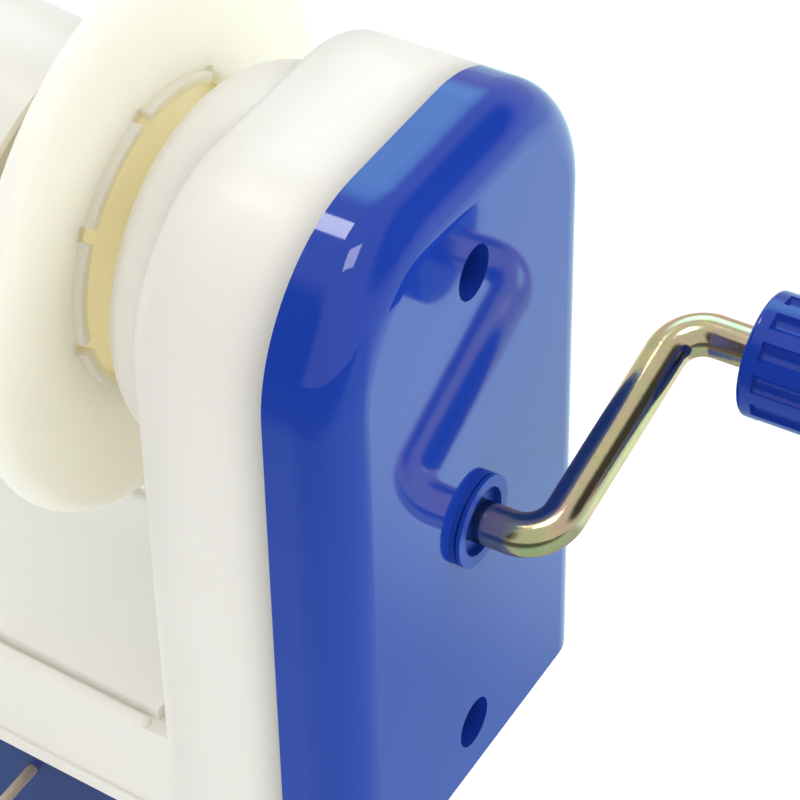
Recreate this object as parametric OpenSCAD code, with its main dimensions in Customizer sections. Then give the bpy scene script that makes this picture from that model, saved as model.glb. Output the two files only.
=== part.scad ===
// Hand-cranked yarn ball winder that clamps to the edge of a table.
// The crank turns a gear pair in the tower, the pinion turns a rotor on the tower's boss,
// and the rotor carries a tilted bobbin that creeps round through a small planet train.
// X runs along the crank axis, Z is up, and the clamp screw stands on the origin.

/* [Tower] */
// Width of the tower, front to back
tower_w = 70; // [66:0.5:80]
// Height of the tower above the table
tower_h = 114.7; // [112:0.1:122]
// Radius of the tower's two upper corners
tower_corner_r = 24; // [18:0.5:28]
// Distance from the clamp axis to the tower's bobbin side
tower_x = 24.1; // [23:0.1:32]
// Depth of the white shell along the crank axis
shell_d = 21; // [20.5:0.1:26]
// Depth of the blue side cover along the crank axis
cover_d = 11.9; // [11:0.1:16]
// Wall thickness of the mouldings
wall = 2.5; // [2:0.1:3]
// Rounding of the cover's outer edge
cover_edge_r = 7.4; // [4:0.1:8.5]
// Rounding of the shell's edge on the bobbin side
shell_edge_r = 3.2; // [2.8:0.1:5]

/* [Cover screws] */
// Height of the lower cover screw
screw_low_z = 9.6; // [9:0.1:14]
// Height of the upper cover screw
screw_high_z = 96.1; // [95.5:0.1:99]
// Diameter of the access hole over each cover screw
access_d = 8.2; // [7:0.1:9]
// Diameter of a screw head
screw_head_d = 6; // [5:0.1:6.5]
// Diameter of a screw shank
screw_d = 3; // [2.5:0.1:3.5]

/* [Main axis] */
// Height of the main axis above the table
main_z = 84.5; // [82:0.1:86]
// Radius of the boss that carries the main shaft
boss_r = 29.2; // [28:0.1:30]
// Length of the boss on the bobbin side
boss_l = 11.7; // [11:0.1:14]
// Rounding of the boss's end
boss_edge_r = 10.5; // [6:0.5:11]
// Diameter of the main shaft
shaft_d = 6; // [5:0.1:6.4]
// Wall of the bearing sleeve round the main shaft
sleeve_wall = 1.2; // [1:0.1:1.4]

/* [Crank] */
// Diameter of the crank rod
rod_d = 6.5; // [5.5:0.1:7]
// Distance from the crank axis to the knob axis
crank_throw = 41; // [34:0.5:60]
// Distance that the arm leans outward over its length
crank_lean = 1.7; // [1.2:0.1:6]
// Angle of the arm above the horizontal at rest
crank_angle = 18; // [0:1:360]
// Bend radius of the rod's centre line
bend_r = 5.8; // [5:0.1:7]
// Distance from the cover's face to the corner of the first bend
crank_reach = 11.6; // [11.2:0.1:16]
// Distance from the cover's face to the knob's near end
knob_gap = 26; // [24.4:0.1:34]

/* [Knob] */
// Diameter of the crank knob
knob_d = 19.2; // [18:0.1:26]
// Length of the crank knob
knob_l = 45; // [36:1:60]
// Number of flutes round the knob
knob_flutes = 12; // [8:1:14]
// Diameter of one flute
flute_d = 3.2; // [2.5:0.1:3.6]
// Length of the plain collar at each end of the knob
knob_collar = 2.4; // [2:0.1:6]
// Diameter of the pin that stops the knob
stop_d = 1.5; // [1.2:0.1:1.5]
// Distance that the stop pin stands out of the rod
stop_out = 0.6; // [0.4:0.1:1]
// Angle of the stop pin round the rod
stop_a = 40; // [0:5:90]

/* [Bush] */
// Outer diameter of the crank bush's flange
bush_flange_d = 14.2; // [13:0.1:16]
// Outer diameter of the crank bush's barrel
bush_d = 11.2; // [10.4:0.1:12]
// Diameter of the recess in the crank bush's mouth
bush_mouth_d = 10.6; // [9:0.1:11]
// Thickness of one of the two flange discs
bush_disc = 0.6; // [0.5:0.1:1]

/* [Drive gears] */
// Module of the crank gear and its pinion
drive_m = 1; // [1:0.05:1]
// Teeth on the crank gear
crank_teeth = 54; // [52:1:54]
// Teeth on the main pinion
pinion_teeth = 12; // [12:1:14]
// Face width of the drive gears
drive_w = 6; // [4:0.5:7]
// Backlash of the drive gears
drive_play = 0.3; // [0.2:0.05:0.5]

/* [Creep gears] */
// Module of the sun, planet and ring gears
creep_m = 0.7; // [0.7:0.05:0.7]
// Teeth on the fixed sun gear
sun_teeth = 18; // [18:1:19]
// Teeth on the planet gear
planet_teeth = 22; // [20:1:22]
// Teeth on the planet's pinion
creep_teeth = 10; // [10:1:11]
// Face width of the sun and planet gears
creep_w = 3.4; // [2.5:0.1:3.4]
// Face width of the planet's pinion
creep_pinion_w = 2.5; // [2:0.1:3]
// Diameter of the planet's shaft
planet_shaft_d = 3.2; // [2.8:0.1:3.6]
// Backlash of the creep gears
creep_play = 0.25; // [0.15:0.05:0.35]
// Backlash of the tilted ring gear
ring_play = 0.7; // [0.65:0.05:0.75]

/* [Rotor] */
// Outer radius of the rotor's flange
rotor_r = 42.8; // [38:0.1:46]
// Thickness of the rotor's flange
flange_t = 3.4; // [3.2:0.1:4]
// Rounding of the flange's front edge
rim_r = 2.6; // [1.5:0.1:2.8]
// Gap between the planet gear's teeth and the gear housing behind the flange
housing_gap = 0.84; // [0.4:0.02:2.2]
// Length of the rotor from its flange's face to its back
rotor_l = 12.5; // [12.4:0.1:14]
// Gap between the boss's end and the flange's face
rotor_gap = 4.9; // [4:0.1:7]
// Radius of the recess in the flange's face
mouth_r = 22; // [21:0.1:23]
// Depth of the recess in the flange's face
mouth_d = 1.8; // [1.4:0.1:2]
// Thickness of the web that closes the recess
web_t = 1.2; // [1:0.1:1.4]
// Height of the raised lip round the recess
lip_h = 1.4; // [0.8:0.1:1.8]
// Width of the raised lip round the recess
lip_w = 1.6; // [1.2:0.1:2]
// Number of notches in the lip
lip_notches = 8; // [6:1:10]
// Width of one notch in the lip
notch_w = 2.2; // [1.5:0.1:3]
// Thickness of the plate that closes the housing
plate_t = 3; // [2.5:0.1:3.2]

/* [Bobbin] */
// Tilt of the bobbin's axis to the main axis
bobbin_tilt = 10; // [6:0.5:10]
// Distance from the rotor's back to the point where the two axes cross
cross_gap = 9; // [9:0.1:12]
// Outer radius of the bobbin at the rotor
bobbin_r = 24.5; // [24:0.1:26]
// Outer radius of the bobbin at its free end
bobbin_tip_r = 22.3; // [21:0.1:23.5]
// Length of the bobbin
bobbin_l = 88; // [70:1:90]
// Diameter of the bobbin's spindle
spindle_d = 6; // [5:0.1:6.4]
// Width of the yarn slot in the bobbin's free end
yarn_slot_w = 2; // [1.5:0.1:3]

/* [Base] */
// Distance that the base stands back from the tower's side
base_inset = 2.3; // [1:0.1:3]
// Half width of the base at its far end
base_tip_half_w = 22.3; // [20:0.1:26]
// Corner radius of the base's far end
base_corner_r = 12; // [8:0.5:15]
// Height of the base's deck
deck_z = 21.2; // [20:0.1:22]
// Height of the ledge round the deck
ledge_z = 18.9; // [17.5:0.1:19.2]
// Distance from the base's side to the deck's edge
deck_inset = 2.4; // [2.3:0.1:3]
// Distance from the tower to the deck's end
deck_gap = 3.4; // [2.5:0.1:5]
// Radius of the round bead along the base's edge
bead_r = 1.1; // [0.9:0.1:1.1]
// Distance that the bead stands out from the base's side
bead_out = 0.2; // [0.1:0.05:0.3]
// Distance from the tower to the bead's round end
bead_gap = 5.2; // [4:0.1:8]
// Height of the lip along the base's foot
foot_h = 2.4; // [1.5:0.1:3]
// Distance that the foot lip stands out
foot_out = 0.5; // [0.3:0.1:1]
// Width of the channel in the deck
channel_w = 13; // [10:0.5:16]
// Depth of the channel in the deck
channel_d = 1.2; // [0.8:0.1:1.6]
// Distance from the tower to the channel's end
channel_gap = 8; // [6:0.5:12]

/* [Yarn guide] */
// Diameter of the guide wire
guide_d = 3; // [2.5:0.1:3.5]
// Distance from the base's far end to the guide's swivel axis
guide_inset = 8.5; // [8:0.1:9.5]
// Distance from the bobbin's free end to the guide's post
guide_clear = 7.5; // [6:0.5:12]
// Height of the guide's arm above the table
guide_z = 152; // [145:1:170]
// Reach of the guide's arm from its post to its eye
guide_reach = 52; // [40:1:60]
// Inner diameter of the guide's eye
eye_d = 9; // [8:0.5:12]
// Bend radius of the guide wire's centre line
guide_bend_r = 8; // [6:0.5:10]
// Diameter of the socket that holds the guide
socket_d = 8; // [7:0.1:9]
// Height of the socket above the deck
socket_h = 9; // [7:0.5:12]

/* [Clamp] */
// Width of the clamp bracket along the base
bracket_w = 32; // [26:1:40]
// Thickness of the clamp bracket
bracket_t = 5; // [4:0.1:6]
// Depth of the clamp below the table's top
bracket_h = 52; // [48:1:64]
// Distance that the bracket's lower arm reaches past the screw
bracket_past = 10; // [8:0.5:14]
// Diameter of the clamp screw
clamp_d = 8; // [6:0.1:9]
// Height of the gap between the base and the clamp pad at rest
jaw_gap = 26; // [24:0.5:28]
// Diameter of the clamp pad
pad_d = 20; // [16:0.5:24]
// Thickness of the clamp pad
pad_t = 5; // [4:0.5:6]
// Length of the tommy bar
bar_l = 52; // [40:1:60]
// Diameter of the tommy bar
bar_d = 3; // [2.5:0.1:3.4]
// Diameter of the lower feed guide's wire
feed_d = 1.8; // [1.6:0.1:2.2]
// Length of the lower feed guide's straight wire
feed_l = 14; // [10:0.5:20]
// Inner diameter of the lower feed guide's eye
feed_eye_d = 6.5; // [6:0.5:9]

/* [Clearances] */
// Radial clearance of a shaft in its bore
run_gap = 0.05; // [0.02:0.01:0.09]
// Gap between faces that move past each other
face_gap = 0.4; // [0.3:0.05:0.6]
// Radial clearance of pieces that plug into each other
plug_gap = 0.05; // [0:0.01:0.1]

/* [Hidden] */
$fn = 64;

white = [0.95, 0.95, 0.93];
blue = [0.1, 0.2, 0.65];
navy = [0.07, 0.12, 0.4];
cream = [0.92, 0.9, 0.82];
steel = [0.75, 0.76, 0.78];
gold = [0.8, 0.68, 0.42];
nylon = [0.86, 0.85, 0.8];
brass = [0.78, 0.62, 0.3];

part_x = tower_x + shell_d;
face_x = part_x + cover_d;
crank_z = main_z - drive_m * (crank_teeth + pinion_teeth) / 2;
boss_x = tower_x - boss_l;
sleeve_r = shaft_d / 2 + run_gap + sleeve_wall;
rotor_x = boss_x - rotor_gap;
back_x = rotor_x - rotor_l;
cross_x = back_x - cross_gap;
ring_teeth = sun_teeth + planet_teeth + creep_teeth;
planet_y = creep_m * (sun_teeth + planet_teeth) / 2;
tooth_top = 0.8;
housing_r = planet_y + creep_m * (planet_teeth / 2 + tooth_top) + housing_gap + wall;
creep_x = rotor_x - mouth_d - web_t - face_gap - creep_w;
drive_x = tower_x + wall + 6.6;
seat_x = face_x - 12;
head_h = 2.4;
arm_a = atan2(crank_throw, crank_lean);
bend_run = bend_r * tan(arm_a / 2);
knob_x = face_x + knob_gap;
rod_end_x = knob_x + knob_l - 6;
ring_w = 4;
bobbin_wall = 2.1;
ring_out_r = bobbin_r - bobbin_wall - 0.1 - plug_gap;
hub_r = 6;
// Depths that the rotor and cover screws bite, and the room for the nut in the bobbin's free end.
rotor_bite = 5;
cover_bite = 12;
nut_room = 8;
// Pressure angle of the gear teeth.
pressure_a = 20;
bobbin_start = -ring_w / 2;
bobbin_far_x = cross_x - (bobbin_start + bobbin_l) * cos(bobbin_tilt) - bobbin_tip_r * sin(bobbin_tilt);
guide_x = bobbin_far_x - guide_clear - guide_d / 2;
base_x = guide_x - guide_inset;
base_half_w = tower_w / 2 - base_inset;
pad_top_z = -jaw_gap;
nut_r = clamp_d / 2 + 3;
screw_low = -bracket_h - 12 - jaw_gap + 2;
feed_x = 1 - bracket_w / 4;
// A straight length is this much thinner than the bends or corners that it runs into, and this far inside.
seam_step = 0.04;
seam = 0.3;
jaw_w = bracket_w / 2;

// Turns a shape drawn on Z so that it stands on a line parallel to X and grows towards -X.
module facing_back(x, z) {
    translate([x, 0, z]) rotate([0, -90, 0]) children();
}

// Turns a shape drawn on Z so that it follows the bobbin's tilted axis from the crossing point.
module on_tilt() {
    translate([cross_x, 0, main_z]) rotate([0, bobbin_tilt - 90, 0]) children();
}

module tube(r, bore, l) {
    difference() {
        cylinder(r = r, h = l);
        translate([0, 0, -1]) cylinder(r = bore, h = l + 2);
    }
}

// Half the angle of a tooth at radius r, from the involute of the base circle.
function involute(a) = tan(a) * 180 / PI - a;
function tooth_half(r, pitch_r, base_r, at_pitch) =
    at_pitch + involute(pressure_a) - involute(r > base_r ? acos(base_r / r) : 0);

// Outline of a gear with a tooth on the +X side.
module gear_outline(teeth, m, play, top, root) {
    pitch_r = m * teeth / 2;
    base_r = pitch_r * cos(pressure_a);
    half = 90 / teeth - play / 4 / pitch_r * 180 / PI;
    steps = [root, (root + pitch_r) / 2, pitch_r, top];
    flank = [for (r = steps) [r, tooth_half(r, pitch_r, base_r, half)]];
    polygon([for (i = [0 : teeth - 1])
        each concat(
            [for (k = [0 : 3]) let (a = 360 / teeth * i - flank[k][1]) flank[k][0] * [cos(a), sin(a)]],
            [for (k = [3 : -1 : 0]) let (a = 360 / teeth * i + flank[k][1]) flank[k][0] * [cos(a), sin(a)]])]);
}

module spur(teeth, m, play, w, bore) {
    difference() {
        linear_extrude(w)
            gear_outline(teeth, m, play, m * (teeth / 2 + tooth_top), m * (teeth / 2 - 1.1));
        translate([0, 0, -1]) cylinder(r = bore, h = w + 2);
    }
}

// A tower section: a rounded-top slab whose outer edge, at x = d, is rounded by e.
module round_cut(e) {
    difference() {
        square(e + 1);
        circle(e);
    }
}

module slab_plan(w, d, e) {
    difference() {
        translate([0, -w / 2]) square([d, w]);
        translate([d - e, w / 2 - e]) round_cut(e);
        mirror([0, 1]) translate([d - e, w / 2 - e]) round_cut(e);
    }
}

module slab_corner(r, d, e) {
    difference() {
        square([r, d]);
        translate([r - e, d - e]) round_cut(e);
    }
}

module tower_form(w, h, d, r, e) {
    linear_extrude(h - r) slab_plan(w, d, e);
    translate([0, w / 2 - r, 0]) rotate([90, 0, 0]) linear_extrude(w - 2 * r)
        mirror([1, -1]) slab_corner(h, d, e);
    for (s = [-1, 1])
        translate([0, s * (w / 2 - r), h - r]) rotate([0, 90, 0]) rotate_extrude() slab_corner(r, d, e);
}

// A tower moulding, open at x = 0, with an even wall.
module tower_moulding(d, e) {
    difference() {
        tower_form(tower_w, tower_h, d, tower_corner_r, e);
        translate([-1, 0, wall])
            tower_form(tower_w - 2 * wall, tower_h - 2 * wall, d - wall + 1,
                       tower_corner_r - wall, max(e - wall, 0.8));
    }
}

module base_tray() {
    color(white) difference() {
        union() {
            base_plan_solid(0, ledge_z, 0);
            base_plan_solid(0, foot_h, foot_out);
            base_deck();
            base_beads();
        }
        translate([0, 0, -1]) base_plan_solid(0, ledge_z - wall + 1, -wall);
        translate([0, 0, -1]) base_plan_solid(0, deck_z - wall + 1, -wall - deck_inset - 0.5);
        translate([channel_x, -channel_w + 9, deck_z - channel_d])
            cube([tower_x - channel_gap - channel_x, channel_w, channel_d + 1]);
        translate([guide_x, 0, ledge_z - wall - 1])
            cylinder(d = socket_d + 2 * plug_gap, h = wall + deck_z - ledge_z + 2);
    }
    color(white) for (p = plate_posts)
        translate([p[0], p[1], wall]) tube(3.4, screw_d / 2 - 0.15, deck_z - 2 * wall + 0.5);
}

channel_x = guide_x + socket_d / 2 + 10;

// Half width of the base at x, grown outward by g.
taper = (base_half_w - base_tip_half_w) / (tower_x - base_x);
function half_w(x, g) = base_tip_half_w + (x - base_x) * taper + g;
plate_posts = [for (x = [base_x + base_corner_r + 12, tower_x - 4], s = [-1, 1])
    [x, s * (half_w(x, 0) - wall - 4.5)]];

// Front of the bracket's arm, just inside the tray's wall.
arm_front = -half_w(-jaw_w, 0) + wall + face_gap;
flange_l = 18;
bracket_holes = [for (s = [-1, 1]) [s * bracket_w / 3, arm_front + flange_l - 5]];

module base_plan_solid(z0, z1, g) {
    c = base_corner_r + g;
    n = sqrt(1 + taper * taper);
    cx = base_x + base_corner_r;
    cy = half_w(cx, g) - c * n;
    k = c - seam_step;
    tx = cx - k * taper / n;
    ty = cy + k / n;
    translate([0, 0, z0]) linear_extrude(z1 - z0) {
        polygon([[tower_x, half_w(tower_x, g)], [tx, ty], [cx, cy], [cx - k, cy], [cx - k, -cy], [cx, -cy],
                 [tx, -ty], [tower_x, -half_w(tower_x, g)]]);
        for (s = [-1, 1]) translate([cx, s * cy]) circle(c);
    }
}

// The deck stands above the ledge and ends short of the tower.
module base_deck() {
    difference() {
        base_plan_solid(ledge_z - 1, deck_z, -deck_inset);
        translate([tower_x - deck_gap, -tower_w, 0]) cube([deck_gap + 1, 2 * tower_w, deck_z + 1]);
    }
}

// The round bead along the two long edges, with round ends.
module base_beads() {
    x0 = base_x + base_corner_r;
    x1 = tower_x - bead_gap;
    run = (x1 - x0) * sqrt(1 + taper * taper);
    for (s = [-1, 1]) {
        translate([x0, s * (half_w(x0, 0) - bead_r + bead_out), ledge_z]) {
            sphere(bead_r + 0.08);
            rotate([0, 0, s * atan(taper)]) rotate([0, 90, 0]) cylinder(r = bead_r, h = run);
        }
        translate([x1, s * (half_w(x1, 0) - bead_r + bead_out), ledge_z]) sphere(bead_r + 0.08);
    }
}

module bottom_plate() {
    color(navy) difference() {
        intersection() {
            base_plan_solid(0, wall - 0.1, -wall - 0.2);
            translate([base_x, -tower_w, 0]) cube([tower_x - base_x - 0.3, 2 * tower_w, wall]);
        }
        for (p = concat(plate_posts, bracket_holes)) translate([p[0], p[1], -1]) {
            cylinder(d = screw_d + 0.3, h = wall + 2);
            cylinder(d = screw_head_d + 0.3, h = 1 + 1.4);
        }
        translate([-jaw_w - 0.2, -tower_w, -1])
            cube([bracket_w + 0.4, tower_w + arm_front + bracket_t + 0.2, wall + 2]);
    }
}

module plate_screws() {
    color(steel) for (p = plate_posts) translate([p[0], p[1], 0.2]) {
        cylinder(d = screw_head_d, h = 1.2);
        cylinder(d = screw_d - 0.3, h = 10);
    }
}

module bracket_screws() {
    color(steel) for (p = bracket_holes) translate([p[0], p[1], 0.2]) {
        cylinder(d = screw_head_d, h = 1.2);
        cylinder(d = screw_d - 0.3, h = 5.6);
    }
}

module tower_shell() {
    color(white) difference() {
        union() {
            difference() {
                union() {
                    translate([part_x, 0, 0]) mirror([1, 0, 0]) tower_moulding(shell_d, shell_edge_r);
                    boss();
                }
                boss_hollow();
            }
            facing_back(tower_x + wall + 4, crank_z) cylinder(r = rod_d / 2 + 2.4, h = 4.5);
            facing_back(seat_x - 0.1, screw_low_z)
                cylinder(r = 3.6, h = seat_x - 0.1 - tower_x - wall + 0.5);
            facing_back(seat_x - 0.1, screw_high_z)
                cylinder(r = 3.6, h = seat_x - 0.1 - boss_x - wall + 0.5);
        }
        facing_back(tower_x + wall + 5, crank_z) cylinder(r = rod_d / 2 + run_gap, h = 4.6);
        for (z = [screw_low_z, screw_high_z])
            facing_back(seat_x + 1, z) cylinder(d = screw_d - 0.3, h = cover_bite);
        facing_back(tower_x + wall + 3, main_z)
            cylinder(r = sleeve_r + plug_gap, h = boss_l + wall + 4);
    }
}

module boss() {
    facing_back(tower_x + shell_edge_r, main_z) rotate_extrude()
        slab_corner(boss_r, boss_l + shell_edge_r, boss_edge_r);
}

// The boss is hollow between its outer wall and the tube that holds the bearing sleeve.
module boss_hollow() {
    from = max(wall, shell_edge_r) + 1;
    facing_back(tower_x + from, main_z) difference() {
        rotate_extrude()
            slab_corner(boss_r - wall - 1.5, boss_l + from - wall, boss_edge_r - wall);
        translate([0, 0, -1]) cylinder(r = sleeve_r + 3, h = boss_l + from + 2);
    }
}

module bearing_sleeve() {
    color(nylon) facing_back(tower_x + wall + 2.5, main_z)
        tube(sleeve_r, shaft_d / 2 + run_gap, tower_x + wall + 2.5 - creep_x);
}

module sun_gear() {
    color(nylon) facing_back(creep_x + creep_w, main_z)
        rotate([0, 0, 90]) spur(sun_teeth, creep_m, creep_play, creep_w, sleeve_r + plug_gap);
}

module side_cover() {
    color(blue) difference() {
        union() {
            translate([part_x, 0, 0]) tower_moulding(cover_d, cover_edge_r);
            for (z = [screw_low_z, screw_high_z])
                facing_back(face_x - 1, z) cylinder(r = access_d / 2 + 1.4, h = face_x - 1 - seat_x);
            facing_back(face_x - 1, main_z) cylinder(r = shaft_d / 2 + 2.4, h = cover_d - 2);
        }
        for (z = [screw_low_z, screw_high_z]) {
            facing_back(face_x + 1, z) cylinder(d = access_d, h = face_x + 1 - seat_x - 1.6);
            facing_back(face_x + 1, z) cylinder(d = screw_d + 0.3, h = face_x + 2 - seat_x);
        }
        facing_back(face_x + 1, crank_z) cylinder(d = bush_d + 2 * plug_gap, h = cover_d);
        facing_back(face_x - wall, main_z) cylinder(r = shaft_d / 2 + run_gap, h = cover_d);
    }
}

module cover_screws() {
    color(steel) for (z = [screw_low_z, screw_high_z]) difference() {
        facing_back(seat_x + 1.6 + head_h, z) {
            cylinder(d = screw_head_d, h = head_h);
            cylinder(d = screw_d - 0.3, h = head_h + cover_bite);
        }
        for (a = [0, 90]) translate([seat_x + 1.6 + head_h, 0, z]) rotate([a, 0, 0])
            cube([2.4, 0.9, 3.4], center = true);
    }
}

module crank_bush() {
    front = face_x + 2 * bush_disc + 0.35;
    color(blue) difference() {
        union() {
            facing_back(front, crank_z) cylinder(d = bush_flange_d, h = bush_disc);
            facing_back(front - bush_disc, crank_z) cylinder(d = bush_flange_d - 1.2, h = 0.35);
            facing_back(face_x + bush_disc, crank_z) cylinder(d = bush_flange_d, h = bush_disc);
            facing_back(face_x, crank_z) cylinder(d = bush_d, h = wall + 2);
        }
        facing_back(front + 1, crank_z) cylinder(r = rod_d / 2 + run_gap, h = 12);
        facing_back(front + 1, crank_z) cylinder(d = bush_mouth_d, h = 2.2);
    }
}

// The rod is drawn in a plane with x along the crank axis and y along the arm.
module crank_plane() {
    translate([0, 0, crank_z]) rotate([crank_angle, 0, 0]) children();
}

module crank_rod() {
    bend_x = face_x + crank_reach - bend_run;
    arm_l = crank_throw / sin(arm_a) - 2 * bend_run;
    in_x = tower_x + wall + 0.6;
    seam_d = rod_d - seam_step;
    first = [face_x + crank_reach + bend_run * cos(arm_a), bend_run * sin(arm_a), 0];
    last_x = face_x + crank_reach + crank_lean + bend_run;
    color(gold) difference() {
        crank_plane() translate([last_x - seam, crank_throw, 0]) rotate([0, 90, 0])
            cylinder(d = seam_d, h = rod_end_x - last_x + seam);
        stop_pin(stop_d / 2 + plug_gap, rod_d + 4);
    }
    color(gold) crank_plane() {
        translate([in_x, 0, 0]) rotate([0, 90, 0]) cylinder(d = seam_d, h = bend_x - in_x + seam);
        translate([bend_x, bend_r, 0]) rotate([0, 0, -90]) rotate_extrude(angle = arm_a)
            translate([bend_r, 0]) circle(d = rod_d);
        translate(first) rotate([0, 0, arm_a]) rotate([0, 90, 0])
            translate([0, 0, -seam]) cylinder(d = seam_d, h = arm_l + 2 * seam);
        translate([last_x, crank_throw - bend_r, 0]) rotate([0, 0, 90]) rotate_extrude(angle = arm_a)
            translate([bend_r, 0]) circle(d = rod_d);
    }
}

module crank_gear() {
    color(nylon) difference() {
        union() {
            facing_back(drive_x + drive_w, crank_z)
                spur(crank_teeth, drive_m, drive_play, drive_w, rod_d / 2 + plug_gap);
            facing_back(drive_x + drive_w + 5, crank_z)
                tube(rod_d / 2 + 3, rod_d / 2 + plug_gap, 5.5);
        }
        for (s = [0, 1]) facing_back(drive_x + s * (drive_w + 1.7), crank_z)
            translate([0, 0, -s * 0]) tube(crank_teeth * drive_m / 2 - 4, rod_d / 2 + 4.5, 1.7);
    }
}

module crank_clip() {
    color(steel) facing_back(drive_x - 0.2, crank_z) tube(rod_d / 2 + 1.8, rod_d / 2 + plug_gap, 1);
}

// Pieces on the knob's axis are drawn from the knob's near end towards +X.
module on_knob(x) {
    crank_plane() translate([x, crank_throw, 0]) rotate([0, 90, 0]) children();
}

// A small pin through the rod stops the knob.
module stop_pin(r, l) {
    crank_plane() translate([knob_x - face_gap - stop_d / 2, crank_throw, 0]) rotate([stop_a, 0, 0])
        cylinder(r = r, h = l, center = true);
}

module knob_stop() {
    color(gold) stop_pin(stop_d / 2, rod_d + 2 * stop_out);
}

module crank_knob() {
    edge = 0.8;
    color(blue) difference() {
        on_knob(knob_x) rotate_extrude() {
            translate([0, edge]) square([knob_d / 2, knob_l - 2 * edge]);
            square([knob_d / 2 - edge, knob_l]);
            for (z = [edge, knob_l - edge]) translate([knob_d / 2 - edge, z]) circle(edge);
        }
        on_knob(knob_x - 1) cylinder(r = rod_d / 2 + run_gap, h = knob_l - 4);
        on_knob(knob_x + knob_l - 5) cylinder(d = 13, h = 6);
        for (i = [0 : knob_flutes - 1]) on_knob(knob_x + knob_collar)
            rotate([0, 0, 360 / knob_flutes * i]) translate([knob_d / 2 + 0.5, 0, 0])
                cylinder(d = flute_d, h = knob_l - 2 * knob_collar);
    }
}

module knob_cap() {
    color(blue) on_knob(knob_x + knob_l - 4) {
        cylinder(d = 13 - 2 * plug_gap, h = 4);
        translate([0, 0, 4]) cylinder(d = 11.5, h = 0.8);
    }
}

module main_shaft() {
    color(steel) facing_back(face_x - wall - 0.5, main_z)
        cylinder(d = shaft_d, h = face_x - wall - 0.5 - back_x - 0.2);
}

module main_pinion() {
    color(nylon) facing_back(drive_x + drive_w, main_z) rotate([0, 0, 180 + 180 / pinion_teeth])
        spur(pinion_teeth, drive_m, drive_play, drive_w, shaft_d / 2 + plug_gap);
}

module shaft_clip() {
    color(steel) facing_back(drive_x - 0.2, main_z) tube(shaft_d / 2 + 1.8, shaft_d / 2 + plug_gap, 1);
}

module rotor_dish() {
    color(cream) difference() {
        union() {
            facing_back(rotor_x, main_z) rotate_extrude() dish_section();
            rotor_posts(back_x + plate_t, rotor_l - mouth_d - web_t + 0.5 - plate_t, 2.6);
        }
        rotor_posts(back_x, plate_t + rotor_bite, 1.1);
        for (i = [0 : lip_notches - 1]) translate([0, 0, main_z])
            rotate([360 / lip_notches * i + 12, 0, 0])
                translate([rotor_x - 0.5, mouth_r - 1, -notch_w / 2])
                    cube([lip_h + 2, lip_w + 1.6, notch_w]);
    }
}

// The dish in section: radius against depth behind its face.
module dish_section() {
    back_r = 0.5;
    difference() {
        union() {
            translate([0, mouth_d]) square([mouth_r + 1, web_t]);
            translate([mouth_r, 0]) square([rotor_r - mouth_r, flange_t]);
            translate([mouth_r, -lip_h]) square([lip_w, lip_h + 1]);
            translate([housing_r - wall, mouth_d]) square([wall, rotor_l - mouth_d]);
        }
        translate([rotor_r - back_r, flange_t - back_r]) round_cut(back_r);
        mirror([0, 1]) translate([rotor_r - rim_r, -rim_r]) round_cut(rim_r);
        translate([-1, -5]) square([sleeve_r + 2.2, rotor_l + 10]);
    }
}

rotor_screw_r = housing_r - wall - 4.1;
rotor_screw_a = [90, 180, 270];

module rotor_plate() {
    color(cream) difference() {
        union() {
            facing_back(back_x + plate_t, main_z) cylinder(r = housing_r - wall - plug_gap, h = plate_t);
            facing_back(creep_x - face_gap, main_z)
                cylinder(r = hub_r, h = creep_x - face_gap - back_x);
            on_tilt() translate([0, 0, -cross_gap - 0.5]) cylinder(r = hub_r, h = cross_gap - 3);
        }
        rotor_posts(back_x - 1, plate_t + 2, 1.25);
        facing_back(rotor_x, main_z) cylinder(r = shaft_d / 2 + plug_gap, h = rotor_l - 0.1);
        on_tilt() translate([0, 0, -cross_gap + 0.1]) cylinder(r = spindle_d / 2 + plug_gap, h = cross_gap);
        translate([0, planet_y, 0]) facing_back(rotor_x, main_z)
            cylinder(r = planet_shaft_d / 2 + run_gap, h = rotor_l + 1);
    }
}

// Three cylinders on the rotor's screw circle, from x towards +X.
module rotor_posts(x, l, r) {
    for (a = rotor_screw_a) translate([0, 0, main_z]) rotate([a, 0, 0])
        translate([x, rotor_screw_r, 0]) rotate([0, 90, 0]) cylinder(r = r, h = l);
}

module rotor_screws() {
    color(steel) {
        rotor_posts(back_x - 1.2, 1.2, 2.3);
        rotor_posts(back_x - 0.5, plate_t + rotor_bite, 1.1);
    }
}

spindle_end = bobbin_l - nut_room;

module bobbin_spindle() {
    color(steel) on_tilt() translate([0, 0, -cross_gap + 0.4])
        cylinder(d = spindle_d, h = cross_gap - 0.4 + spindle_end);
}

module spindle_washer() {
    color(steel) on_tilt() translate([0, 0, spindle_end - 10 + face_gap])
        tube(spindle_d / 2 + 4, spindle_d / 2 + plug_gap, 1);
}

module spindle_nut() {
    color(steel) on_tilt() translate([0, 0, spindle_end - 9 + face_gap]) difference() {
        cylinder(r = 5.8, h = 4.5, $fn = 6);
        translate([0, 0, -1]) cylinder(r = spindle_d / 2 + plug_gap, h = 7);
    }
}

module planet_gear() {
    color(nylon) translate([0, planet_y, 0]) {
        facing_back(creep_x + creep_w, main_z) rotate([0, 0, 270 + 180 / planet_teeth])
            spur(planet_teeth, creep_m, creep_play, creep_w, 0.75);
        facing_back(creep_x + 0.5, main_z)
            cylinder(d = planet_shaft_d, h = creep_x + 0.5 - cross_x + creep_pinion_w / 2);
    }
}

module planet_pinion() {
    color(nylon) translate([0, planet_y, 0])
        facing_back(cross_x + creep_pinion_w / 2, main_z) rotate([0, 0, 90])
            spur(creep_teeth, creep_m, ring_play / 2, creep_pinion_w, planet_shaft_d / 2 + plug_gap);
}

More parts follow.
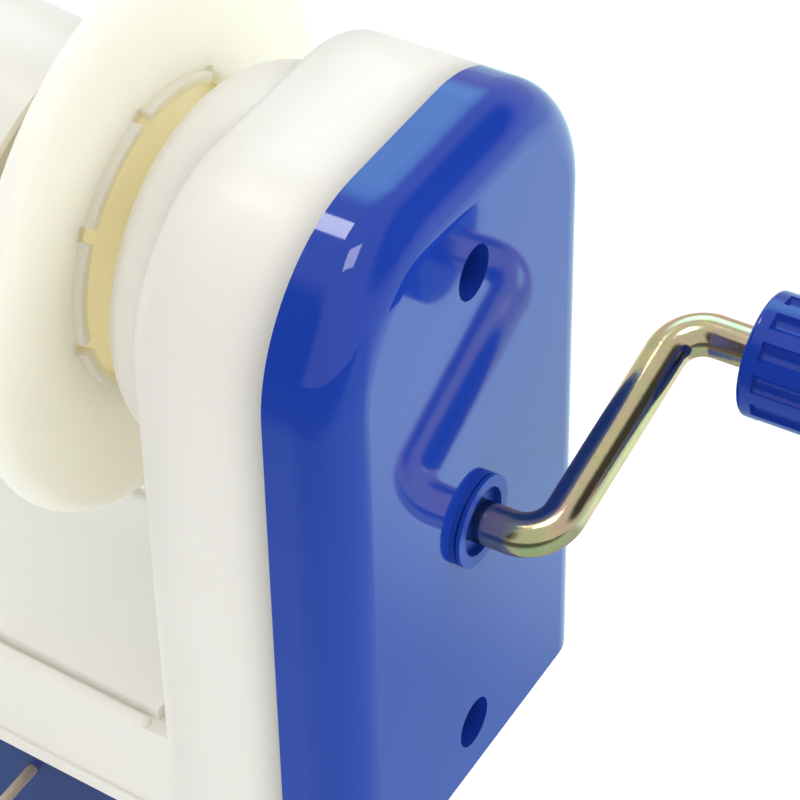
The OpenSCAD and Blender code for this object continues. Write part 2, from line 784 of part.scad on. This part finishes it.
module bobbin() {
    tube_end = spindle_end - 10;
    web_z = ring_w / 2 + 0.1;
    color(white) on_tilt() difference() {
        union() {
            rotate_extrude() bobbin_section(web_z);
            translate([0, 0, web_z]) cylinder(r = spindle_d / 2 + 3, h = tube_end - web_z);
        }
        translate([0, 0, -5]) cylinder(r = spindle_d / 2 + run_gap, h = bobbin_l + 10);
        for (a = [0, 180]) rotate([0, 0, a])
            translate([bobbin_tip_r - 6, -yarn_slot_w / 2, bobbin_start + bobbin_l - 14])
                cube([10, yarn_slot_w, 20]);
    }
}

// The bobbin's tapered wall with a round outer lip at its free end, and the web inside it.
module bobbin_section(web_z) {
    t = bobbin_wall;
    end = bobbin_start + bobbin_l;
    polygon([[bobbin_r - t, bobbin_start], [bobbin_r, bobbin_start], [bobbin_tip_r, end - 1],
             [bobbin_tip_r - t, end - 1]]);
    translate([bobbin_tip_r - t / 2, end - 1]) circle(t / 2);
    translate([0, web_z]) square([bobbin_r - t / 2 - 0.6, wall]);
}

module bobbin_gear() {
    pitch_r = creep_m * ring_teeth / 2;
    color(nylon) on_tilt() translate([0, 0, bobbin_start]) difference() {
        cylinder(r = ring_out_r, h = ring_w);
        translate([0, 0, -1]) linear_extrude(ring_w + 2) rotate(90)
            gear_outline(ring_teeth, creep_m, -ring_play, pitch_r + 1.15 * creep_m, pitch_r - 0.75 * creep_m);
    }
}

module bobbin_cap() {
    cap_r = bobbin_tip_r - bobbin_wall - plug_gap;
    color(white) on_tilt() translate([0, 0, bobbin_start + bobbin_l - 3.5]) {
        cylinder(r = cap_r, h = 2);
        translate([0, 0, 2]) cylinder(r1 = cap_r - 3, r2 = cap_r - 5, h = 1.2);
    }
}

module guide_socket() {
    color(navy) translate([guide_x, 0, 0]) difference() {
        union() {
            translate([0, 0, wall]) cylinder(d = socket_d, h = deck_z + socket_h - wall);
            translate([0, 0, deck_z]) cylinder(d = socket_d + 5, h = 2.5);
        }
        translate([0, 0, wall + 3]) cylinder(r = guide_d / 2 + run_gap, h = deck_z + socket_h);
    }
}

module guide_wire() {
    eye_r = (eye_d + guide_d) / 2;
    top = guide_z - guide_bend_r;
    arm_end = guide_reach - 2 * eye_r;
    color(gold) translate([guide_x, 0, 0]) {
        translate([0, 0, wall + 3.4]) cylinder(d = guide_d - seam_step, h = top - wall - 3.4 + seam);
        translate([guide_bend_r, 0, top]) rotate([90, 0, 0]) rotate([0, 0, 90]) rotate_extrude(angle = 90)
            translate([guide_bend_r, 0]) circle(d = guide_d);
        translate([guide_bend_r - seam, 0, guide_z]) rotate([0, 90, 0])
            cylinder(d = guide_d - seam_step, h = arm_end - guide_bend_r + 2 * seam);
        translate([arm_end, -eye_r, guide_z]) rotate([0, 0, -225]) rotate_extrude(angle = 315)
            translate([eye_r, 0]) circle(d = guide_d);
    }
}

module guide_collar() {
    color(steel) translate([guide_x, 0, deck_z + socket_h + face_gap])
        tube(guide_d / 2 + 2, guide_d / 2 + plug_gap, 4);
}

module clamp_bracket() {
    color(navy) difference() {
        union() {
            translate([-jaw_w, arm_front, -bracket_h]) cube([bracket_w, bracket_t, bracket_h + wall + 3.4]);
            translate([-jaw_w, arm_front, wall - 0.1]) cube([bracket_w, flange_l, 3.5]);
            translate([-bracket_w / 2, arm_front, -bracket_h])
                cube([bracket_w, bracket_past - arm_front, bracket_t + 3]);
            for (s = [-1, 1]) translate([s * (bracket_w / 2 - 2), arm_front + bracket_t, -bracket_h])
                rotate([90, 0, 90]) translate([0, 0, -1.5]) linear_extrude(3)
                    polygon([[0, 0], [bracket_t + 11, 0], [bracket_t + 11, bracket_t + 3], [0, bracket_t + 18]]);
        }
        for (p = bracket_holes) translate([p[0], p[1], 0]) cylinder(d = screw_d - 0.3, h = wall + 5);
        translate([0, 0, -bracket_h - 1]) cylinder(r = nut_r + plug_gap, h = bracket_t + 6);
        translate([feed_x, arm_front - 1, -9]) rotate([-90, 0, 0])
            cylinder(d = feed_d + 2 * plug_gap, h = 5);
    }
}

module clamp_nut() {
    color(brass) translate([0, 0, -bracket_h]) tube(nut_r, clamp_d / 2 + run_gap, bracket_t + 3);
}

module feed_guide() {
    eye_r = (feed_eye_d + feed_d) / 2;
    color(gold) translate([feed_x, arm_front, -9]) rotate([90, 0, 0]) {
        translate([0, 0, -3.6]) cylinder(d = feed_d - seam_step, h = feed_l + 3.6 + seam);
        translate([eye_r, 0, feed_l]) rotate([90, 0, 0]) rotate([0, 0, -135]) rotate_extrude(angle = 315)
            translate([eye_r, 0]) circle(d = feed_d);
    }
}

module clamp_pad() {
    color(navy) translate([0, 0, pad_top_z - pad_t]) difference() {
        union() {
            cylinder(d = pad_d, h = pad_t - 1);
            translate([0, 0, pad_t - 1]) cylinder(d = pad_d - 2, h = 1);
            translate([0, 0, -4]) cylinder(d = clamp_d + 5, h = 4.5);
        }
        translate([0, 0, -5]) cylinder(r = clamp_d / 2 + run_gap, h = 6);
    }
}

module clamp_screw() {
    top = pad_top_z - pad_t + 0.8;
    color(steel) difference() {
        union() {
            translate([0, 0, screw_low + 10]) cylinder(d = clamp_d, h = top - screw_low - 10);
            translate([0, 0, screw_low]) cylinder(d = clamp_d + 4, h = 12);
        }
        translate([-clamp_d * 2, 0, screw_low + 5]) rotate([0, 90, 0])
            cylinder(d = bar_d + 2 * plug_gap, h = clamp_d * 4);
    }
}

module tommy_bar() {
    color(gold) translate([-bar_l / 2, 0, screw_low + 5]) rotate([0, 90, 0]) cylinder(d = bar_d, h = bar_l);
}

module bar_caps() {
    color(navy) for (s = [0, 1]) translate([0, 0, screw_low + 5]) rotate([0, 0, 180 * s])
        translate([bar_l / 2 - 3, 0, 0]) rotate([0, 90, 0]) difference() {
            union() {
                cylinder(d = bar_d + 4, h = 4);
                translate([0, 0, 4]) sphere(d = bar_d + 4);
            }
            translate([0, 0, -1]) cylinder(d = bar_d + 2 * plug_gap, h = 4);
        }
}

base_tray();
bottom_plate();
plate_screws();
tower_shell();
bearing_sleeve();
sun_gear();
side_cover();
cover_screws();
crank_bush();
crank_rod();
crank_gear();
crank_clip();
knob_stop();
crank_knob();
knob_cap();
main_shaft();
main_pinion();
shaft_clip();
rotor_dish();
rotor_plate();
rotor_screws();
bobbin_spindle();
spindle_washer();
spindle_nut();
planet_gear();
planet_pinion();
bobbin();
bobbin_gear();
bobbin_cap();
guide_socket();
guide_wire();
guide_collar();
clamp_bracket();
bracket_screws();
clamp_nut();
feed_guide();
clamp_pad();
clamp_screw();
tommy_bar();
bar_caps();
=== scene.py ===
import math

import bpy
from mathutils import Matrix, Vector


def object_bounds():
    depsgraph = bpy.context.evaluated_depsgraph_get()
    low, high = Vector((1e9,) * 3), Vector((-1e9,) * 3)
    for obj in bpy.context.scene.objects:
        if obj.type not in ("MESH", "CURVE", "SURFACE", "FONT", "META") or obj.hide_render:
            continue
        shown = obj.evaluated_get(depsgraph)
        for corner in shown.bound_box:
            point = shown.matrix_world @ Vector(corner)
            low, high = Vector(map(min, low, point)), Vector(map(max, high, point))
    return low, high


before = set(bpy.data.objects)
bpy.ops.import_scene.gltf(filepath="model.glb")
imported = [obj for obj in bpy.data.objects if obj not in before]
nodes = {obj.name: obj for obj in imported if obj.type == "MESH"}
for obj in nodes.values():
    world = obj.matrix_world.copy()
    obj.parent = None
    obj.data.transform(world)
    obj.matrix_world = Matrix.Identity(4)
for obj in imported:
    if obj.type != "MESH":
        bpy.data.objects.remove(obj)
cad_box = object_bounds()


# Base tray: one white moulding, open below, with a raised deck, a ledge round it and a bead on each side.
# It is warm styrene with a faint flow mottle, a soft gloss and a very fine grain from the tool.
class Wire:
    """A shader socket that can be added, multiplied and fed into further nodes."""

    def __init__(self, tree, socket=None):
        self.tree = tree
        self.socket = socket

    def node(self, kind, out=0, settings=(), **inputs):
        """A new node of this kind. An input goes by its label, or by i and its number."""
        made = self.tree.nodes.new(kind)
        for key, value in dict(settings).items():
            setattr(made, key, value)
        for key, value in inputs.items():
            slot = made.inputs[int(key[1:]) if key[1:].isdigit() else key.replace("_", " ")]
            if isinstance(value, Wire):
                self.tree.links.new(value.socket, slot)
            else:
                slot.default_value = value
        return Wire(self.tree, made.outputs[out])

    def __add__(self, other):
        return self.node("ShaderNodeMath", settings={"operation": "ADD"}, i0=self, i1=other)

    def __mul__(self, other):
        return self.node("ShaderNodeMath", settings={"operation": "MULTIPLY"}, i0=self, i1=other)

    __radd__ = __add__
    __rmul__ = __mul__

    def between(self, low, high):
        """0 at low, 1 at high, with soft ends."""
        soft = {"interpolation_type": "SMOOTHSTEP"}
        return self.node("ShaderNodeMapRange", settings=soft, i0=self, i1=low, i2=high)

    def tint(self, dark, light):
        """A colour that runs from dark to light with this value."""
        colour = {"data_type": "RGBA"}
        return self.node("ShaderNodeMix", out=2, settings=colour, i0=self, i6=dark, i7=light)

    def noise(self, scale, detail, rough=0.5):
        return self.node("ShaderNodeTexNoise", Vector=self, Scale=scale, Detail=detail, Roughness=rough)

    def distance(self, spot):
        apart = {"operation": "DISTANCE"}
        return self.node("ShaderNodeVectorMath", out=1, settings=apart, i0=self, i1=spot)

    def bump(self, strength, depth=0.0002):
        return self.node("ShaderNodeBump", Height=self, Strength=strength, Distance=depth)

    def into(self, slot):
        self.tree.links.new(self.socket, slot)


def new_finish(name):
    """A material, its shader's inputs, and the place on the piece that its pattern starts from."""
    skin = bpy.data.materials.new(name)
    skin.use_nodes = True
    place = Wire(skin.node_tree).node("ShaderNodeTexCoord", out="Object")
    return skin, skin.node_tree.nodes["Principled BSDF"].inputs, place


def hold(shader, **values):
    """Sets the inputs that are the same all over."""
    for key, value in values.items():
        shader[key.replace("_", " ")].default_value = value


def dress(skin, *names):
    for name in names:
        nodes[name].data.materials.clear()
        nodes[name].data.materials.append(skin)


white, shader, place = new_finish("white_plastic")
mottle = place.noise(scale=45.0, detail=3.0, rough=0.55)
mottle.tint((0.84, 0.815, 0.755, 1), (0.88, 0.86, 0.805, 1)).into(shader["Base Color"])
(0.26 + 0.08 * mottle).into(shader["Roughness"])
place.noise(scale=2600.0, detail=2.0).bump(strength=0.03).into(shader["Normal"])
hold(shader, Specular_IOR_Level=0.3, Subsurface_Weight=0.12, Subsurface_Radius=(0.004, 0.004, 0.003),
     Subsurface_Scale=0.5)
dress(white, "base_tray")

# Bottom plate: a navy moulding that closes the tray from below and carries the clamp's bracket.
# Its glossy skin is a little uneven where the tool was polished by hand.
navy, shader, place = new_finish("navy_plastic")
cloud = place.noise(scale=80.0, detail=4.0)
cloud.tint((0.008, 0.022, 0.15, 1), (0.014, 0.036, 0.21, 1)).into(shader["Base Color"])
(0.12 + 0.12 * cloud).into(shader["Roughness"])
place.noise(scale=1800.0, detail=2.0).bump(strength=0.04).into(shader["Normal"])
dress(navy, "bottom_plate")

# Plate screws: turned steel, driven up through the plate into posts of the tray.
# Fine tool lines cross the light, and a thin oil film makes the shine uneven.
steel, shader, place = new_finish("turned_steel")
cloud = place.noise(scale=150.0, detail=3.0)
line = place.noise(scale=2400.0, detail=2.0)
cloud.tint((0.5, 0.51, 0.53, 1), (0.64, 0.65, 0.66, 1)).into(shader["Base Color"])
(0.18 + 0.15 * line + 0.1 * cloud).into(shader["Roughness"])
hold(shader, Metallic=1.0)
dress(steel, "plate_screws")

# Tower shell: the same white moulding, with a boss that runs softly into its bobbin side.
# The tool was blended by hand there, so the light turns over the joint without a hard line.
shell = white.copy()
shell.name = "tower_plastic"
turned = Wire(shell.node_tree).node("ShaderNodeBevel", settings={"samples": 12}, Radius=0.010)
turned.into(shell.node_tree.nodes["Bump"].inputs["Normal"])
dress(shell, "tower_shell")

# Main axis: a bearing sleeve in the boss with the fixed sun gear on its end, and a steel shaft with a pinion
# and a clip. The gears and the sleeve are natural nylon, waxy and matt, with a faint cloudiness.
nylon, shader, place = new_finish("nylon")
cloud = place.noise(scale=120.0, detail=3.0)
cloud.tint((0.6, 0.58, 0.5, 1), (0.7, 0.68, 0.6, 1)).into(shader["Base Color"])
(0.38 + 0.15 * cloud).into(shader["Roughness"])
dress(nylon, "bearing_sleeve", "sun_gear", "main_pinion")
dress(steel, "main_shaft", "shaft_clip")

# Rotor: a cream dish that lets light through, with a plate plugged into its back and held by three screws.
# The cream yellows in patches, the recess round the boss is painted a darker, yellower tan as shade,
# and a painted glow on the recess and the gear housing behind the flange stands in for light through it.
axis_z = 0.0845
recess_r = 0.022
web_x = 0.0057
housing_r = 0.0256
flange_back_x = 0.0041
cream, shader, place = new_finish("cream_plastic")
cloud = place.noise(scale=35.0, detail=3.0)
across = place.node("ShaderNodeVectorMath", settings={"operation": "MULTIPLY"}, i0=place, i1=(0, 1, 1))
reach = across.distance((0, 0, axis_z))
along = place.node("ShaderNodeSeparateXYZ", out="X", Vector=place)
plain = cloud.tint((0.86, 0.84, 0.735, 1), (0.9, 0.885, 0.79, 1))
# painted shade: the cream in the recess round the boss is tinted a darker, yellower tan
recess_painted_shade = reach.between(recess_r + 0.0025, recess_r - 0.0005)
recess_painted_shade.tint(plain, (0.78, 0.69, 0.42, 1)).into(shader["Base Color"])
(0.3 + 0.1 * cloud).into(shader["Roughness"])
place.noise(scale=2200.0, detail=2.0).bump(strength=0.03).into(shader["Normal"])
# painted glow: emission in the recess and on the gear housing stands in for light shining through
in_recess = reach.between(recess_r + 0.0012, recess_r - 0.0015)
in_recess = in_recess * along.between(web_x - 0.0009, web_x - 0.0003)
on_housing = along.between(flange_back_x, flange_back_x - 0.0005)
on_housing = on_housing * reach.between(housing_r + 0.0019, housing_r + 0.0004)
painted_glow = in_recess.tint((0, 0, 0, 1), (0.54, 0.48, 0.3, 1))
on_housing.tint(painted_glow, (0.5, 0.49, 0.43, 1)).into(shader["Emission Color"])
hold(shader, Emission_Strength=0.45, Subsurface_Weight=0.7, Subsurface_Radius=(0.012, 0.010, 0.006),
     Subsurface_Scale=1.0)
dress(cream, "rotor_dish", "rotor_plate")
dress(steel, "rotor_screws")

# Planet: a nylon gear with its shaft, which runs in the rotor's plate and rolls round the sun gear.
# A pinion on the shaft's end drives the bobbin.
dress(nylon, "planet_gear", "planet_pinion")

# Bobbin: a white tapered tube with two yarn slots and a cap at its free end, and a nylon ring gear inside.
# It runs on a tilted steel spindle in the rotor's plate, held by a washer and a nut.
dress(white, "bobbin", "bobbin_cap")
dress(nylon, "bobbin_gear")
dress(steel, "bobbin_spindle", "spindle_washer", "spindle_nut")

# Crank rod: bent steel with a yellow chromate film, a stop pin beside the knob, and a nylon gear and a clip
# on its inner end. The film drifts from gold to pink and green, with fine drawing lines in it.
zinc, shader, place = new_finish("yellow_zinc")
drift = place.noise(scale=110.0, detail=3.0, rough=0.6)
patch = place.noise(scale=260.0, detail=2.0)
line = place.noise(scale=1500.0, detail=3.0, rough=0.7)
gold = drift.between(0.36, 0.64).tint((0.70, 0.54, 0.39, 1), (0.73, 0.64, 0.34, 1))
(0.8 * patch.between(0.48, 0.7)).tint(gold, (0.56, 0.60, 0.32, 1)).into(shader["Base Color"])
(0.08 + 0.12 * line).into(shader["Roughness"])
line.bump(strength=0.07).into(shader["Normal"])
hold(shader, Metallic=1.0, Specular_Tint=(1.0, 0.66, 0.68, 1))
dress(zinc, "crank_rod", "knob_stop")
dress(nylon, "crank_gear")
dress(steel, "crank_clip")

# Side cover: deep blue plastic from a polished tool, with a mirror-like gloss, held by two sunk screws.
# The face reflects the crank, and handling has left faint scuffs in the shine.
blue, shader, place = new_finish("blue_plastic")
cloud = place.noise(scale=30.0, detail=3.0)
scuff = place.noise(scale=700.0, detail=3.0, rough=0.6)
cloud.tint((0.009, 0.042, 0.355, 1), (0.012, 0.052, 0.415, 1)).into(shader["Base Color"])
(0.03 + 0.04 * scuff + 0.03 * cloud).into(shader["Roughness"])
cloud.bump(strength=0.03, depth=0.001).into(shader["Normal"])
dress(blue, "side_cover")
dress(steel, "cover_screws")

# Crank bush: a flanged bearing pressed into the cover, of the same blue but moulded duller,
# so its ring stands out from the mirror of the face.
dull, shader, place = new_finish("bush_plastic")
cloud = place.noise(scale=160.0, detail=3.0)
cloud.tint((0.011, 0.058, 0.42, 1), (0.014, 0.068, 0.47, 1)).into(shader["Base Color"])
(0.3 + 0.1 * cloud).into(shader["Roughness"])
hold(shader, Specular_IOR_Level=0.22)
dress(dull, "crank_bush")

# Knob: a fluted grip that spins on the rod's end, of the cover's blue plastic.
# A cap of the same plastic closes its end.
dress(blue, "crank_knob", "knob_cap")

# Yarn guide: a wire bent into an eye, with the crank's yellow film, standing in a navy socket on the deck.
# It swivels there, and a steel collar on the wire rests on the socket.
dress(navy, "guide_socket")
dress(zinc, "guide_wire")
dress(steel, "guide_collar")

# Clamp: a navy bracket screwed to the plate, and a steel screw with a pad on top and a capped tommy bar
# through its foot. The screw runs in a turned brass nut in the bracket's lower arm, dulled in patches.
brass, shader, place = new_finish("brass")
cloud = place.noise(scale=200.0, detail=3.0)
cloud.tint((0.6, 0.42, 0.16, 1), (0.7, 0.52, 0.22, 1)).into(shader["Base Color"])
(0.2 + 0.2 * cloud).into(shader["Roughness"])
hold(shader, Metallic=1.0)
dress(brass, "clamp_nut")
dress(navy, "clamp_bracket", "clamp_pad", "bar_caps")
dress(steel, "bracket_screws", "clamp_screw")
dress(zinc, "tommy_bar")

# Feed guide: a thin wire sprung into a hole in the clamp bracket, the crank's film worn pale and dull on it.
# Yarn running over it has rubbed the shine off in streaks.
worn, shader, place = new_finish("worn_zinc")
streak = place.noise(scale=300.0, detail=3.0)
streak.tint((0.66, 0.52, 0.36, 1), (0.78, 0.66, 0.5, 1)).into(shader["Base Color"])
(0.45 + 0.2 * streak).into(shader["Roughness"])
hold(shader, Metallic=0.6)
dress(worn, "feed_guide")

# Floor: a plain white sheet, lit so that it stays clear of grey, and large enough to fill every view.
# It lies low enough for the clamp screw turned all the way down.
screw_travel = 0.008
floor_gap = 0.002
floor_z = cad_box[0].z - screw_travel - floor_gap
bpy.ops.mesh.primitive_plane_add(size=8, location=(0, 0, floor_z))
floor = bpy.context.object
floor.name = "floor"
paper, shader, place = new_finish("paper")
cloud = place.noise(scale=3.0, detail=2.0)
cloud.tint((0.86, 0.86, 0.86, 1), (0.89, 0.89, 0.89, 1)).into(shader["Base Color"])
hold(shader, Roughness=0.9, Specular_IOR_Level=0.1, Emission_Color=(1, 1, 1, 1), Emission_Strength=0.3)
floor.data.materials.append(paper)

# Backdrop: a white cove of cloth round the table, so that low views have no horizon.
# Only the camera meets it, so it neither lights the part nor shades it.
bpy.ops.mesh.primitive_uv_sphere_add(segments=48, ring_count=24, radius=5)
cove = bpy.context.object
cove.name = "backdrop"
cloth = bpy.data.materials.new("backdrop_cloth")
cloth.use_nodes = True
hold(cloth.node_tree.nodes["Principled BSDF"].inputs, Base_Color=(0, 0, 0, 1), Specular_IOR_Level=0.0,
     Emission_Color=(1, 1, 1, 1), Emission_Strength=0.88)
cove.data.materials.append(cloth)
cove.visible_diffuse = cove.visible_glossy = cove.visible_shadow = cove.visible_transmission = False


# Table sheet as the shiny pieces see it: pale behind and beside the crank, greyer in front of it and dark
# far in front. Only reflections meet it, as they meet a photographer's flags.
def keep_for_gloss(flag):
    flag.visible_camera = flag.visible_diffuse = flag.visible_shadow = flag.visible_transmission = False


sheet_lift = 0.001
bpy.ops.mesh.primitive_plane_add(size=6, location=(0, 0, floor_z + sheet_lift))
sheet = bpy.context.object
sheet.name = "reflected_sheet"
sheet_paper, shader, place = new_finish("sheet_paper")
apart = place.distance((0.12, 0.2, 0))
depth = place.node("ShaderNodeSeparateXYZ", out="Y", Vector=place)
pale = apart.between(0.6, 0.2).tint((0.72, 0.92, 0.88, 1), (0.97, 1.3, 1.24, 1))
grey = depth.between(-0.36, -0.15).tint((0.1, 0.12, 0.12, 1), (0.46, 0.62, 0.58, 1))
depth.between(0.155, 0.09).tint(pale, grey).into(shader["Emission Color"])
hold(shader, Base_Color=(0, 0, 0, 1), Specular_IOR_Level=0.0, Emission_Strength=1.0)
sheet.data.materials.append(sheet_paper)
keep_for_gloss(sheet)


# Two dark cards as reflections see them: one high on the right, which darkens the middle of the rod and
# the line round the cover's face, and one in front on the left, which leaves the cover's near corner
# a deep blue.
def fade_rim(skin, place, inner):
    """Lets a card fade out from this distance from its middle to near its rim."""
    tree = skin.node_tree
    solid = Wire(tree, tree.nodes["Principled BSDF"].outputs[0])
    clear = place.node("ShaderNodeBsdfTransparent")
    seen = place.distance((0, 0, 0)).between(0.5, inner)
    faded = place.node("ShaderNodeMixShader", i0=seen, i1=clear, i2=solid)
    faded.into(tree.nodes["Material Output"].inputs["Surface"])


def facing(spot, aim):
    """The turn that points a card or a lamp at spot towards aim."""
    return (Vector(aim) - Vector(spot)).to_track_quat("-Z", "Y").to_euler()


card_aim = (0.07, 0, 0.08)
drape, shader, place = new_finish("dark_card")
hold(shader, Base_Color=(0.05, 0.05, 0.055, 1), Specular_IOR_Level=0.0)
fade_rim(drape, place, inner=0.25)
for spot, wide, high in (((0.82, 0.53, 0.68), 2, 1.3), ((-0.41, -0.91, 0.43), 1.2, 1.8)):
    bpy.ops.mesh.primitive_plane_add(size=1.0, location=spot)
    card = bpy.context.object
    card.name = "reflected_dark_card"
    card.scale = (wide, high, 1)
    card.rotation_euler = facing(spot, card_aim)
    card.data.materials.append(drape)
    keep_for_gloss(card)

# Wide softbox behind and above, with soft edges: it lays the pale sheen along the cover's top rounding.
# Only reflections meet it.
lamp_aim = (0.04, 0, 0.1)
box_spot = (-0.45, 0.83, 0.82)
bpy.ops.mesh.primitive_plane_add(size=1.1, location=box_spot)
box = bpy.context.object
box.name = "reflected_softbox"
box.rotation_euler = facing(box_spot, lamp_aim)
glow, shader, place = new_finish("softbox_cloth")
hold(shader, Base_Color=(0, 0, 0, 1), Specular_IOR_Level=0.0, Emission_Color=(0.5, 0.92, 1, 1),
     Emission_Strength=2.7)
fade_rim(glow, place, inner=0.15)
box.data.materials.append(glow)
keep_for_gloss(box)

# Light: an even white surround, two small softboxes above the cover's near corner that only the gloss shows,
# and wide lamps overhead, on the right and on the left that leave no image in it.
world = bpy.data.worlds.new("studio")
bpy.context.scene.world = world
world.use_nodes = True
hold(world.node_tree.nodes["Background"].inputs, Color=(1, 1, 1, 1), Strength=0.68)
for name, spot, size, power, diffuse in (
    ("softbox_left", (-0.34, 0.1, 0.85), 0.17, 0.9, False),
    ("softbox_near", (0.12, -0.16, 0.95), 0.25, 1.2, False),
    ("overhead", (-0.3, -0.3, 1.3), 1.0, 3.4, True),
    ("right", (0.9, 0.4, 0.8), 0.9, 5.6, True),
    ("left", (-1.1, 0.0, 0.45), 0.8, 4.4, True),
):
    lamp = bpy.data.lights.new(name, "AREA")
    lamp.size = size
    lamp.energy = power
    rig = bpy.data.objects.new(name, lamp)
    rig.location = spot
    rig.rotation_euler = facing(spot, lamp_aim)
    rig.visible_diffuse = diffuse
    rig.visible_glossy = not diffuse
    bpy.context.scene.collection.objects.link(rig)

# Camera: a long lens above the crank side, close in on the tower as in the photo.
# The direction is given by its azimuth, elevation and a small roll.
azimuth = math.radians(30.747)
elevation = math.radians(40.843)
roll = math.radians(-1.153)
eye = Vector((0.221915, -0.297141, 0.367598))
level = math.cos(elevation)
back = Vector((math.sin(azimuth) * level, -math.cos(azimuth) * level, math.sin(elevation)))
right = Vector((0, 0, 1)).cross(back).normalized()
up = back.cross(right)
side = right * math.cos(roll) + up * math.sin(roll)
top = up * math.cos(roll) - right * math.sin(roll)
lens = bpy.data.cameras.new("camera")
lens.lens = 146.87
lens.sensor_width = 36
camera = bpy.data.objects.new("camera", lens)
camera.matrix_world = Matrix.Translation(eye) @ Matrix((side, top, back)).transposed().to_4x4()
bpy.context.scene.collection.objects.link(camera)
bpy.context.scene.camera = camera
bpy.context.scene.view_settings.view_transform = "Standard"
